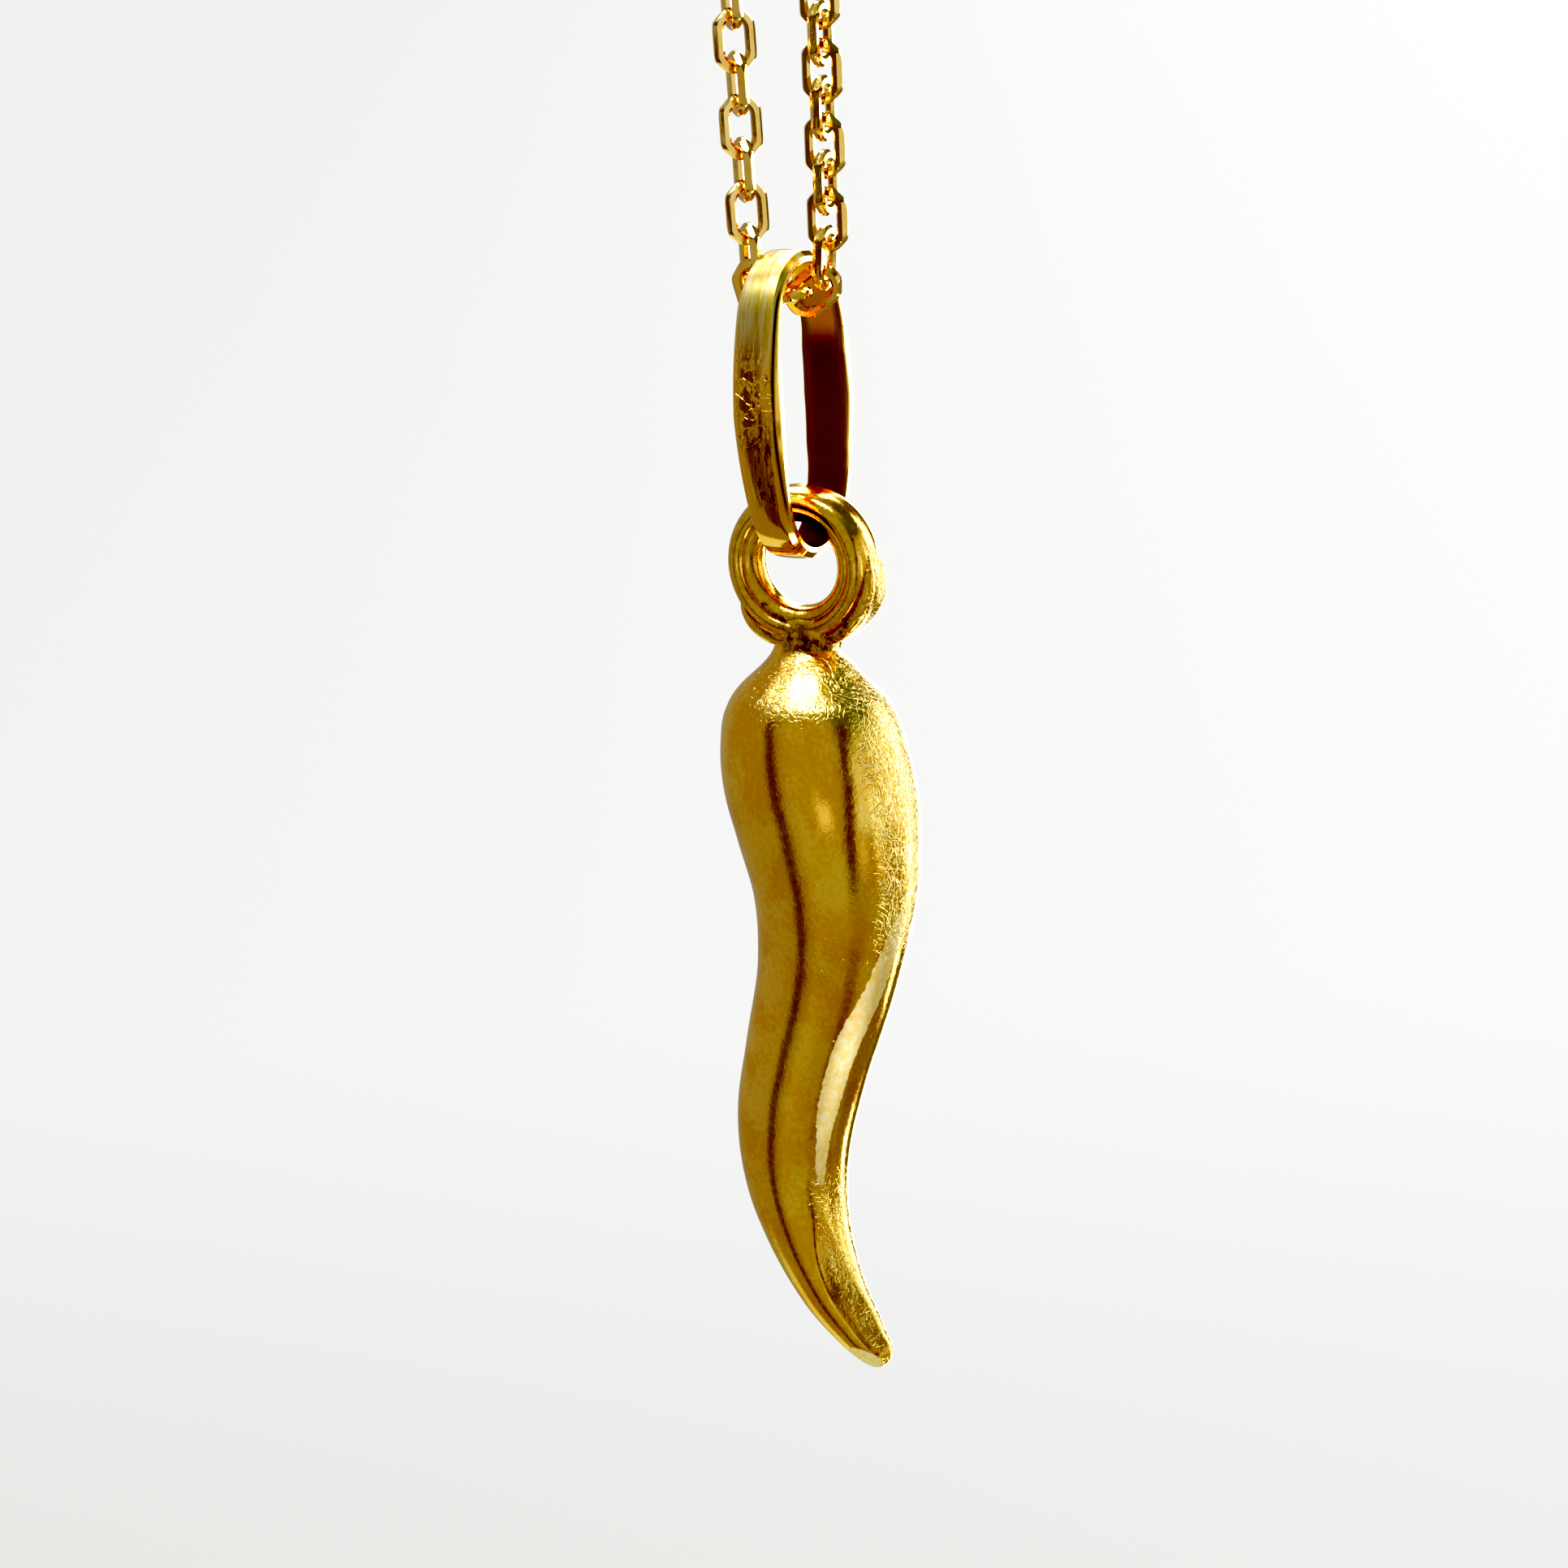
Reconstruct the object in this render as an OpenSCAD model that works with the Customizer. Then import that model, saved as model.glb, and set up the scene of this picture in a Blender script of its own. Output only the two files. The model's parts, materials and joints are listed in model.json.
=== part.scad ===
// Horn pendant on a fine cable chain, hung by the inside top of the chain's loop.
// +Z is up, the front faces -Y, and the origin is the point that the chain hangs from.

/* [Chain] */
// Length of the whole loop, clasp included
chain_length = 420; // [380:10:500]
// Radius of the round turn at the top, to the middle of the chain
chain_top_r = 5; // [4:0.5:8]
// Outer length of a link
link_l = 1.62; // [1.6:0.01:1.66]
// Outer width of a link
link_w = 1.1; // [1.05:0.01:1.12]
// Thickness of a link's wire
link_wire = 0.27; // [0.24:0.01:0.28]
// Step from link to link on the left strand, which hangs taut
pitch_left = 1.05; // [1.02:0.01:1.06]
// Step from link to link on the right strand, which is closed up a little
pitch_right = 0.9; // [0.88:0.01:0.95]
// Links made one by one on each side of the bail
links_each = 16; // [6:1:17]

/* [Bail] */
// Height of the bail
bail_h = 7.55; // [7.4:0.05:7.8]
// Thickness of its band
bail_t = 0.28; // [0.24:0.01:0.3]
// Outer radius of the arch that rides on the chain
bail_top_r = 1.84; // [1.8:0.01:1.9]
// Outer radius of the bend that holds the ring
bail_bottom_r = 1.74; // [1.7:0.01:1.8]
// Outer radius of the long curved sides
bail_side_r = 8.6; // [8:0.01:10]
// Width of the band over the chain
bail_w_top = 1.04; // [0.96:0.01:1.1]
// Width of the band at its middle
bail_w_mid = 1.27; // [1.2:0.01:1.3]
// Width of the band inside the ring
bail_w_bottom = 1; // [0.9:0.01:1.04]

/* [Ring] */
// Radius of the ring's hole
ring_hole_r = 1; // [0.98:0.01:1.04]
// Outer radius of the ring
ring_r = 1.96; // [1.9:0.01:2]
// Thickness of the ring from front to back
ring_depth = 1.3; // [1.2:0.01:1.34]
// Radius of the ring's rounded edges
ring_edge_r = 0.42; // [0.38:0.01:0.44]
// How far the ring's centre lies below the lowest point of the bail
ring_drop = 0.17; // [0.14:0.01:0.2]

/* [Horn] */
// Length of the horn from the ring's centre to its tip
horn_l = 20.6; // [18:0.1:22]
// Thickest half width of the horn
horn_r = 2.37; // [2.2:0.01:2.4]
// Depth of the horn for each unit of its width
horn_flat = 0.94; // [0.85:0.01:1]

/* [Clasp] */
// Outer diameter of the spring ring clasp
clasp_d = 5; // [4.5:0.1:5]
// Thickness of the clasp's tube
clasp_wire = 1; // [0.9:0.05:1]
// Outer diameter of the end ring
end_ring_d = 2.2; // [2.2:0.1:2.4]
// Thickness of the end ring's wire
end_ring_wire = 0.45; // [0.4:0.01:0.46]

/* [Hidden] */
$fn = 48;
names_left = [for (i = [1 : links_each]) str("link_left_", i)];
names_right = [for (i = [1 : links_each]) str("link_right_", i)];
gold = [0.66, 0.47, 0.10];
gold_dark = [0.50, 0.31, 0.05];
gap = 0.04;

// Feet of the two strands: [across, up from the inside of the arch]
foot_left = [-0.99, -0.36];
foot_right = [1.16, 0.62];

// Heights, from the hanging point down
top_z = -(chain_top_r - link_w / 2);
strand_l = (chain_length - PI * chain_top_r - 3 * pitch_left - pitch_right) / 2;
foot_out = (foot_right[0] - foot_left[0]) / 2;
foot_up = (foot_right[1] + foot_left[1]) / 2;
strand_h = sqrt(pow(strand_l, 2) - pow(chain_top_r - foot_out, 2));
bail_in_z = top_z - strand_h - foot_up;
bail_top_z = bail_in_z + bail_t;
bail_low_z = bail_top_z - bail_h;
arch_z = bail_top_z - bail_top_r;
ring_z = bail_low_z - ring_drop;

// Width of the bail's blank before its sides are trimmed
bail_reach = 2 * bail_w_mid;

// The four links under the arch: [across, up from the inside of the arch, lean, turn about the chain]
arch_left = [[-0.16, -0.87, -102, -88], [-0.87, -0.7, -16, 14]];
arch_right = [[0.69, -0.68, 55, 14], [1.06, 0.14, 5.7, 90]];

// Turn of the strands' links, one after the other
turn_strand_right = [0, 90];
turn_strand_left = [-43, 47];

// Tube that stands for the plain upper stretch of each strand
tube_d = 1;
tube_sides = 8;
tube_step = 9;
turn_rings = 14;

// The horn's middle line and half width: [down, across, half width], as shares of its length and width
horn_rows = [
    [0.080, -0.007, 0.27],
    [0.105, -0.007, 0.33],
    [0.133, -0.006, 0.58],
    [0.168, -0.006, 0.84],
    [0.203, -0.004, 0.95],
    [0.252, 0.002, 1.005],
    [0.315, 0.014, 0.99],
    [0.405, 0.019, 0.88],
    [0.505, 0.003, 0.76],
    [0.605, -0.028, 0.685],
    [0.690, -0.051, 0.64],
    [0.765, -0.055, 0.56],
    [0.840, -0.041, 0.455],
    [0.905, -0.015, 0.36],
    [0.955, 0.018, 0.27],
    [0.982, 0.039, 0.2],
];
horn_steps = 3;
horn_sides = 28;
cap_steps = 4;

// A value between the middle two of four, on a smooth curve through all of them
function smooth(a, b, c, d, t) =
    b + 0.5 * t * (c - a + t * (2 * a - 5 * b + 4 * c - d + t * (3 * (b - c) + d - a)));

function row_at(rows, i) = rows[max(0, min(len(rows) - 1, i))];

function between(rows, i, t) =
    smooth(row_at(rows, i - 1), row_at(rows, i), row_at(rows, i + 1), row_at(rows, i + 2), t);

// Unit vector from one [x, z] point to another
function way(a, b) = (b - a) / norm(b - a);

// Points of one round section: centre and way are [x, z], the section stands square to the way
function section(centre, dir, r, flat, sides) = [
    for (k = [0 : sides - 1])
        let (a = 360 * k / sides)
        [centre[0] + r * cos(a) * dir[1], r * flat * sin(a), centre[1] - r * cos(a) * dir[0]]
];

// A closed skin over rings of equal length
module skin(rings) {
    sides = len(rings[0]);
    last = len(rings) - 1;
    walls = [
        for (j = [0 : last - 1], k = [0 : sides - 1])
            let (n = (k + 1) % sides)
            [j * sides + n, j * sides + k, (j + 1) * sides + k, (j + 1) * sides + n]
    ];
    start = [[for (k = [0 : sides - 1]) k]];
    end = [[for (k = [sides - 1 : -1 : 0]) last * sides + k]];
    polyhedron(points = [for (ring = rings) each ring], faces = concat(start, walls, end), convexity = 4);
}

// The horn's body as a loft, with a round tip
module horn_body() {
    spine = [
        for (i = [0 : len(horn_rows) - 2], s = [0 : horn_steps - 1])
            between(horn_rows, i, s / horn_steps)
    ];
    line = concat(spine, [horn_rows[len(horn_rows) - 1]]);
    mid = [for (p = line) [p[1] * horn_l, ring_z - p[0] * horn_l]];
    last = len(line) - 1;
    ways = [for (i = [0 : last]) way(mid[max(0, i - 1)], mid[min(last, i + 1)])];
    tip_r = line[last][2] * horn_r;
    tube = [for (i = [0 : last]) section(mid[i], ways[i], line[i][2] * horn_r, horn_flat, horn_sides)];
    cap = [
        for (i = [1 : cap_steps])
            let (a = 80 * i / cap_steps)
            section(mid[last] + ways[last] * tip_r * sin(a), ways[last], tip_r * cos(a), horn_flat, horn_sides)
    ];
    skin(concat(tube, cap));
}

// Section of the ring, rounded at its four edges, with its hole's centre at x = 0
module ring_section() {
    wall = ring_r - ring_hole_r;
    translate([ring_hole_r, -ring_depth / 2 + ring_edge_r]) square([wall, ring_depth - 2 * ring_edge_r]);
    translate([ring_hole_r + ring_edge_r, -ring_depth / 2]) square([wall - 2 * ring_edge_r, ring_depth]);
    for (x = [ring_hole_r + ring_edge_r, ring_r - ring_edge_r], y = [-1, 1])
        translate([x, y * (ring_depth / 2 - ring_edge_r)]) circle(r = ring_edge_r);
}

module horn() {
    color(gold) {
        horn_body();
        translate([0, 0, ring_z]) rotate([90, 0, 0]) rotate_extrude() ring_section();
    }
}

// Outline of the bail seen along X, pulled in by inset: two end circles joined by two long arcs
module bail_outline(inset) {
    top_y = bail_h / 2 - bail_top_r;
    low_y = bail_bottom_r - bail_h / 2;
    span = top_y - low_y;
    to_top = bail_side_r - bail_top_r;
    to_low = bail_side_r - bail_bottom_r;
    side_up = (pow(span, 2) + pow(to_low, 2) - pow(to_top, 2)) / (2 * span);
    side_x = sqrt(pow(to_low, 2) - pow(side_up, 2));
    side_y = low_y + side_up;
    join_top = side_y + (top_y - side_y) * bail_side_r / to_top;
    join_low = side_y + (low_y - side_y) * bail_side_r / to_low;
    translate([0, top_y]) circle(r = bail_top_r - inset);
    translate([0, low_y]) circle(r = bail_bottom_r - inset);
    intersection() {
        translate([-side_x, side_y]) circle(r = bail_side_r - inset, $fn = 96);
        translate([side_x, side_y]) circle(r = bail_side_r - inset, $fn = 96);
        translate([-bail_h / 2, inset_level(join_low, low_y, bail_bottom_r, inset)])
            square([bail_h, inset_level(join_top, top_y, bail_top_r, inset)
                - inset_level(join_low, low_y, bail_bottom_r, inset)]);
    }
}

// Height where a pulled-in side arc meets a pulled-in end circle
function inset_level(join, centre, r, inset) = centre + (join - centre) * (r - inset) / r;

module bail() {
    mid_z = bail_top_z - bail_h / 2;
    color(gold_dark)
        translate([0, 0, mid_z])
            intersection() {
                rotate([90, 0, 90])
                    linear_extrude(height = bail_reach, center = true)
                        difference() {
                            bail_outline(0);
                            bail_outline(bail_t);
                        }
                rotate([90, 0, 0])
                    linear_extrude(height = bail_h, center = true)
                        polygon([
                            [-bail_w_bottom / 2, -bail_h / 2 - gap],
                            [bail_w_bottom / 2, -bail_h / 2 - gap],
                            [bail_w_mid / 2, 0],
                            [bail_w_top / 2, bail_h / 2 + gap],
                            [-bail_w_top / 2, bail_h / 2 + gap],
                            [-bail_w_mid / 2, 0]
                        ]);
            }
}

// One link, standing along Z in the XZ plane
module link_solid() {
    bend_r = (link_w - link_wire) / 2;
    straight = link_l - link_w;
    for (side = [0, 180])
        rotate([0, side, 0]) {
            translate([bend_r, 0, -straight / 2]) cylinder(d = link_wire, h = straight, $fn = 24);
            translate([0, 0, straight / 2]) rotate([90, 0, 0])
                rotate_extrude(angle = 180) translate([bend_r, 0]) circle(d = link_wire, $fn = 24);
        }
}

// Foot and top of a strand, side is -1 on the left and 1 on the right
function foot(side) = (side < 0 ? foot_left : foot_right) + [0, bail_in_z];
function strand_top(side) = [side * chain_top_r, top_z];
function strand_dir(side) = way(foot(side), strand_top(side));

// Point on a strand that lies a length up from its foot
function up_strand(side, l) = foot(side) + l * strand_dir(side);

// Middle of link i of a side as [across, up], counted from the bail
function link_mid(side, i) =
    i <= 2 ? [arch_row(side, i)[0], arch_row(side, i)[1] + bail_in_z]
    : up_strand(side, (i - 2.5) * pitch(side));

function link_lean(side, i) =
    i <= 2 ? arch_row(side, i)[2]
    : atan2(strand_dir(side)[0], strand_dir(side)[1]);

function link_turn(side, i) =
    i <= 2 ? arch_row(side, i)[3]
    : (side < 0 ? turn_strand_left : turn_strand_right)[(i + 1) % 2];

function arch_row(side, i) = (side < 0 ? arch_left : arch_right)[i - 1];

function pitch(side) = side < 0 ? pitch_left : pitch_right;

module link(side, i) {
    mid = link_mid(side, i);
    color(gold_dark)
        translate([mid[0], 0, mid[1]])
            rotate([0, link_lean(side, i), 0])
                rotate([0, 0, link_turn(side, i)])
                    link_solid();
}

// Eye of the clasp, sunk a little into its tube, and the thumb knob that slides the bolt
eye_d = 1.9;
eye_wire = 0.45;
eye_sunk = 0.25;
knob_d = 0.7;
knob_l = 1.1;
knob_out = 1.5;

// Stations down the left strand from the top, for the clasp and the end ring
turn_end_down = 1;
hook_play = 0.1;
end_ring_down = turn_end_down + gap + end_ring_d / 2;
clasp_down = end_ring_down - end_ring_d / 2 + end_ring_wire + hook_play + clasp_d / 2;
eye_down = clasp_down + clasp_d / 2 + eye_d / 2 - eye_sunk;
left_end_down = eye_down + eye_d / 2 + gap;

// Point and lean of the left strand a length down from its top
left_dir = way(strand_top(-1), foot(-1));
left_lean = atan2(left_dir[0], -left_dir[1]);
function down_left(l) = strand_top(-1) + l * left_dir;

// Where a side's tube starts, just above its last single link
function tube_start(side) = up_strand(side, (links_each - 2.5) * pitch(side) + link_l / 2 + gap);

module tube(path) {
    last = len(path) - 1;
    skin([
        for (i = [0 : last])
            section(path[i], way(path[max(0, i - 1)], path[min(last, i + 1)]), tube_d / 2, 1, tube_sides)
    ]);
}

// Evenly spaced points from a to b
function steps(a, b) =
    let (n = ceil(norm(b - a) / tube_step)) [for (i = [0 : n]) a + (b - a) * i / n];

module chain_left() {
    start = tube_start(-1);
    color(gold_dark) tube(steps(start, down_left(left_end_down)));
}

module chain_right() {
    start = tube_start(1);
    turn_path = [
        for (i = [1 : turn_rings])
            let (a = 180 * i / turn_rings)
            [chain_top_r * cos(a), top_z + chain_top_r * sin(a)]
    ];
    color(gold_dark) tube(concat(steps(start, strand_top(1)), turn_path, [down_left(turn_end_down)]));
}

module wire_ring(d, wire) {
    rotate_extrude() translate([(d - wire) / 2, 0]) circle(d = wire, $fn = 24);
}

// Spring ring with its eye and thumb knob, one solid, edge on to the front
module clasp() {
    place = down_left(clasp_down);
    color(gold)
        translate([place[0], 0, place[1]])
            rotate([0, -left_lean, 0]) {
                rotate([0, 90, 0]) wire_ring(clasp_d, clasp_wire);
                translate([0, 0, clasp_down - eye_down]) rotate([0, 90, 0]) wire_ring(eye_d, eye_wire);
                translate([0, knob_out, knob_out]) rotate([-45, 0, 0]) cylinder(d = knob_d, h = knob_l);
            }
}

module end_ring() {
    place = down_left(end_ring_down);
    color(gold)
        translate([place[0], 0, place[1]])
            rotate([90, 0, 0]) wire_ring(end_ring_d, end_ring_wire);
}

horn();
bail();
chain_left();
chain_right();
clasp();
end_ring();
for (i = [1 : links_each]) link(-1, i);
for (i = [1 : links_each]) link(1, i);
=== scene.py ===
import json
from itertools import product
from math import atan2, cos, degrees, pi, radians, sin, sqrt

import bmesh
import bpy
import numpy as np
from mathutils import Matrix, Vector, noise
from numpy.linalg import norm


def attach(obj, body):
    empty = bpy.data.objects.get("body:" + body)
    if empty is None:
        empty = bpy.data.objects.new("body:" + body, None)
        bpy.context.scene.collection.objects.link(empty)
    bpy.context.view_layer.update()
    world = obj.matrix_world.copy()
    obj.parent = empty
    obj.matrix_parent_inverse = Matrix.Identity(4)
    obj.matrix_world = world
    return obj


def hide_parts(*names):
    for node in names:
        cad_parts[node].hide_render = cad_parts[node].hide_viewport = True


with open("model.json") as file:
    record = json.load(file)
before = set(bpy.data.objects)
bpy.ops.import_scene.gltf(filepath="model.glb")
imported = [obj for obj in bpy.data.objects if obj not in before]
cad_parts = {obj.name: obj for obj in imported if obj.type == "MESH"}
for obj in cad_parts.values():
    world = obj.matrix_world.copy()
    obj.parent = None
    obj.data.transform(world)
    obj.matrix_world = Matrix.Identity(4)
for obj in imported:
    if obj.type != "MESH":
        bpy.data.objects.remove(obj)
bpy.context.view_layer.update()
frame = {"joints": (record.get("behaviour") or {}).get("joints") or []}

mm = 0.001
joints = {j["name"]: j for j in frame["joints"]}
ringZ = joints["horn_swing"]["pos_m"][2] / mm  # height of the ring's centre, in millimetres
archZ = joints["bail_swing"]["pos_m"][2] / mm  # height of the arch's centre
print("frame loaded")

# Camera, at the photo's angle to the pendant
cameraSet = {
    "azimuth": 28,  # degrees, 0 looks along +Y
    "elevation": 12.5,
    "roll": 3.2,
    "distance": 150,  # mm
    "pixelsPerMm": 50,
    "ringPixel": (990, 693),  # where the ring's centre stands in the picture
    "frameSide": 1932,
}


def cameraAxes():
    s = cameraSet
    a, e, r = (radians(s[k]) for k in ("azimuth", "elevation", "roll"))
    back = Vector((sin(a) * cos(e), -cos(a) * cos(e), sin(e)))
    right = Vector((cos(a), sin(a), 0))
    up = back.cross(right)
    rolledRight = right * cos(r) - up * sin(r)
    rolledUp = right * sin(r) + up * cos(r)
    return rolledRight, rolledUp, back


def addObject(name, data):
    thing = bpy.data.objects.new(name, data)
    bpy.context.scene.collection.objects.link(thing)
    return thing


def makeCamera():
    s = cameraSet
    right, up, back = cameraAxes()
    half = s["frameSide"] / 2
    across = (s["ringPixel"][0] - half) / s["pixelsPerMm"]
    above = (half - s["ringPixel"][1]) / s["pixelsPerMm"]
    aim = Vector((0, 0, ringZ)) - right * across - up * above
    data = bpy.data.cameras.new("camera")
    data.sensor_width = 36
    frameWidth = s["frameSide"] / s["pixelsPerMm"]
    data.lens = data.sensor_width * s["distance"] / frameWidth
    data.clip_start = 0.005
    data.clip_end = 20
    camera = addObject("camera", data)
    place = (aim + back * s["distance"]) * mm
    axes = Matrix((right, up, back)).transposed().to_4x4()
    camera.matrix_world = Matrix.Translation(place) @ axes
    bpy.context.scene.camera = camera


makeCamera()
print("camera made")


# Small helpers for node trees
def setInputs(tree, node, inputs):
    for key, value in inputs.items():
        if isinstance(value, bpy.types.NodeSocket):
            tree.links.new(value, node.inputs[key])
        else:
            node.inputs[key].default_value = value


def addNode(tree, kind, inputs=None, **settings):
    node = tree.nodes.new("ShaderNode" + kind)
    for name, value in settings.items():
        setattr(node, name, value)
    setInputs(tree, node, inputs or {})
    return node


def doMath(tree, operation, *values, clamp=False):
    inputs = dict(enumerate(values))
    return addNode(tree, "Math", inputs, operation=operation, use_clamp=clamp).outputs[0]


def doVector(tree, operation, *values, output="Vector"):
    return addNode(tree, "VectorMath", dict(enumerate(values)), operation=operation).outputs[output]


def times(tree, *values):
    return doMath(tree, "MULTIPLY", *values)


def timesPlus(tree, *values):
    return doMath(tree, "MULTIPLY_ADD", *values)


def ramp(tree, value, low, high, toLow=0, toHigh=1):
    inputs = {"Value": value, "From Min": low, "From Max": high, "To Min": toLow, "To Max": toHigh}
    return addNode(tree, "MapRange", inputs, interpolation_type="SMOOTHSTEP").outputs["Result"]


def mix(tree, share, first, second):
    values = {0: share, 6: first, 7: second}
    return addNode(tree, "Mix", values, data_type="RGBA").outputs[2]


def newGroup(name, inputs, outputs):
    group = bpy.data.node_groups.new(name, "ShaderNodeTree")
    for label, value in inputs.items():
        socket = group.interface.new_socket(label, in_out="INPUT", socket_type="NodeSocketFloat")
        socket.default_value = value
    for label in outputs:
        group.interface.new_socket(label, in_out="OUTPUT", socket_type="NodeSocketFloat")
    start = group.nodes.new("NodeGroupInput")
    end = group.nodes.new("NodeGroupOutput")
    return group, start.outputs, end.inputs


def placeGroup(tree, group, values):
    return addNode(tree, "Group", values, node_tree=group).outputs


def newMaterial(name):
    material = bpy.data.materials.new(name)
    material.use_nodes = True
    tree = material.node_tree
    tree.nodes.clear()
    shader = addNode(tree, "BsdfPrincipled")
    addNode(tree, "OutputMaterial", {"Surface": shader.outputs[0]})
    return material, tree, shader


# The studio: a white tent as the world, with its dark gaps and its lamps at fixed directions
studioSet = {
    "tent": (0.44, 0.44, 0.43, 1),
    "ground": (0.4, 0.385, 0.36, 1),
    "groundToTent": (-40, 5),  # degrees of elevation
    "backdropTop": (1, 1, 0.995, 1),
    "backdropLow": (0.965, 0.965, 0.955, 1),
    "backdropFade": (-20, 10),
    # azimuth, half width, soft edge, lowest and highest elevation in degrees, light, then the lean if any
    "strips": [
        (10, 62, 12, 33, 58, (0.47, 0.5, 0.36)),
        (16, 22, 14, -42, 30, (0.48, 0.49, 0.4)),
        (105, 45, 12, 11, 62, (0.22, 0.27, 0.15)),
        (97, 18, 5, -16, 22, (0.68, 0.66, 0.54)),
        (134, 20, 5, -16, 22, (0.72, 0.7, 0.58)),
        (66, 12, 5, -16, 12, (0.76, 0.79, 0.74)),
        (112, 40, 6, -70, -20, (0.43, 0.43, 0.29)),
        (86, 2.5, 1, -21, 2, (2.4, 2.3, 2)),
        (103, 5, 2, -50, -12, (0.34, 0.31, 0.22)),
        (64, 5, 3, -22, -19, (0.95, 0.92, 0.7)),
        (117, 2.5, 2.5, -16, 12, (2.4, 2.3, 2.1)),
        (129, 4, 1.5, -50, -12, (0.36, 0.33, 0.24)),
        (141, 3, 1.5, -19, 16, (3, 2.9, 2.7)),
        (152, 5, 1.5, -34, 30, (4.4, 4.4, 4.2)),
        (172, 11, 4, -60, 40, (0.26, 0.25, 0.16)),
        (196, 9, 3, -60, 50, (3.2, 3.2, 3)),
        (84, 38, 4, -84, -53, (4.2, 4, 3.2)),
        (136, 20, 3, -66, -34, (0.32, 0.29, 0.2)),
        (242, 34, 10, -90, -40, (0.88, 0.91, 0.62)),
        (22, 7, 2, -15, -6, (0.95, 0.92, 0.8)),
        (10, 78, 12, 46, 70, (0.5, 0.52, 0.36)),
        (5, 48, 6, 62.5, 70, (13, 12.8, 12)),
        (-64, 9, 6, 48, 56, (3.6, 3.5, 3.3)),
        (209, 36, 4, 34, 68, (4.8, 4.7, 4.4)),
        (52, 8, 4, -80, -42, (0.27, 0.22, 0.14)),
        (-31, 5.6, 2, -80, 34, (0.2, 0.175, 0.15)),
        (55.5, 5, 2.2, -28, 31, (0.19, 0.165, 0.14), 0.4),
    ],
    # scene light in, picture light out
    "toneCurve": [(0, 0), (0.11, 0.002), (0.2, 0.07), (0.3, 0.18), (0.45, 0.37), (0.7, 0.66), (1, 0.97)],
}


def stripGroup():
    group, given, out = newGroup("studioStrip", {
        "Azimuth": 0, "Elevation": 0, "Centre": 0, "Lean": 0,
        "Half Width": 5, "Soft Edge": 2, "Lowest": -90, "Highest": 90,
    }, ["Mask"])
    centre = timesPlus(group, given["Elevation"], given["Lean"], given["Centre"])
    turned = doMath(group, "SUBTRACT", given["Azimuth"], centre)
    wrapped = doMath(group, "WRAP", turned, 180, -180)
    away = doMath(group, "ABSOLUTE", wrapped)
    outer = doMath(group, "ADD", given["Half Width"], given["Soft Edge"])
    side = ramp(group, away, given["Half Width"], outer, 1, 0)
    lowEnd = doMath(group, "ADD", given["Lowest"], given["Soft Edge"])
    highEnd = doMath(group, "ADD", given["Highest"], given["Soft Edge"])
    below = ramp(group, given["Elevation"], given["Lowest"], lowEnd)
    above = ramp(group, given["Elevation"], given["Highest"], highEnd, 1, 0)
    upright = times(group, below, above)
    group.links.new(times(group, side, upright), out["Mask"])
    return group


def setToneCurve():
    view = bpy.context.scene.view_settings
    view.view_transform = "Standard"
    view.use_curve_mapping = True
    curve = view.curve_mapping.curves[3]
    wanted = studioSet["toneCurve"]
    while len(curve.points) < len(wanted):
        curve.points.new(0.5, 0.5)
    for point, place in zip(curve.points, wanted):
        point.location = place
    view.curve_mapping.update()


def makeWorld():
    s = studioSet
    world = bpy.data.worlds.new("studio")
    bpy.context.scene.world = world
    world.use_nodes = True
    tree = world.node_tree
    tree.nodes.clear()
    toward = addNode(tree, "TexCoord").outputs["Generated"]
    parts = addNode(tree, "SeparateXYZ", {"Vector": toward}).outputs
    toFront = times(tree, parts["Y"], -1)
    azimuth = doMath(tree, "DEGREES", doMath(tree, "ARCTAN2", parts["X"], toFront))
    elevation = doMath(tree, "DEGREES", doMath(tree, "ARCSINE", parts["Z"]))
    height = ramp(tree, elevation, *s["groundToTent"])
    light = mix(tree, height, s["ground"], s["tent"])
    strip = stripGroup()
    for azimuthAt, half, soft, low, high, colour, *lean in s["strips"]:
        mask = placeGroup(tree, strip, {
            "Azimuth": azimuth, "Elevation": elevation, "Centre": azimuthAt, "Lean": sum(lean),
            "Half Width": half, "Soft Edge": soft, "Lowest": low, "Highest": high,
        })["Mask"]
        light = mix(tree, mask, light, (*colour, 1))
    tent = addNode(tree, "Background", {"Color": light})
    rise = ramp(tree, elevation, *s["backdropFade"])
    shade = mix(tree, rise, s["backdropLow"], s["backdropTop"])
    backdrop = addNode(tree, "Background", {"Color": shade})
    seen = addNode(tree, "LightPath").outputs["Is Camera Ray"]
    both = addNode(tree, "MixShader", {0: seen, 1: tent.outputs[0], 2: backdrop.outputs[0]})
    addNode(tree, "OutputWorld", {"Surface": both.outputs[0]})


setToneCurve()
makeWorld()

# The floor glows with painted light: brighter to the right and far off, with painted shade near and to the
# left, evened out to a plain rim
floorSet = {
    "below": 262,  # mm under the hanging point
    "radius": 900,
    "segments": 128,
    "left": (0.9, 0.9, 0.895, 1),
    "right": (1.03, 1.03, 1.02, 1),
    "nearLeft": (0.8, 0.805, 0.78, 1),
    "nearRight": (0.93, 0.93, 0.915, 1),
    "rim": (0.985, 0.985, 0.975, 1),
    "shadeWidth": 90,  # mm from the middle to full left or right painted shade
    "shadeDepth": (50, 150),
    "rimFade": (770, 890),
}


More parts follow.
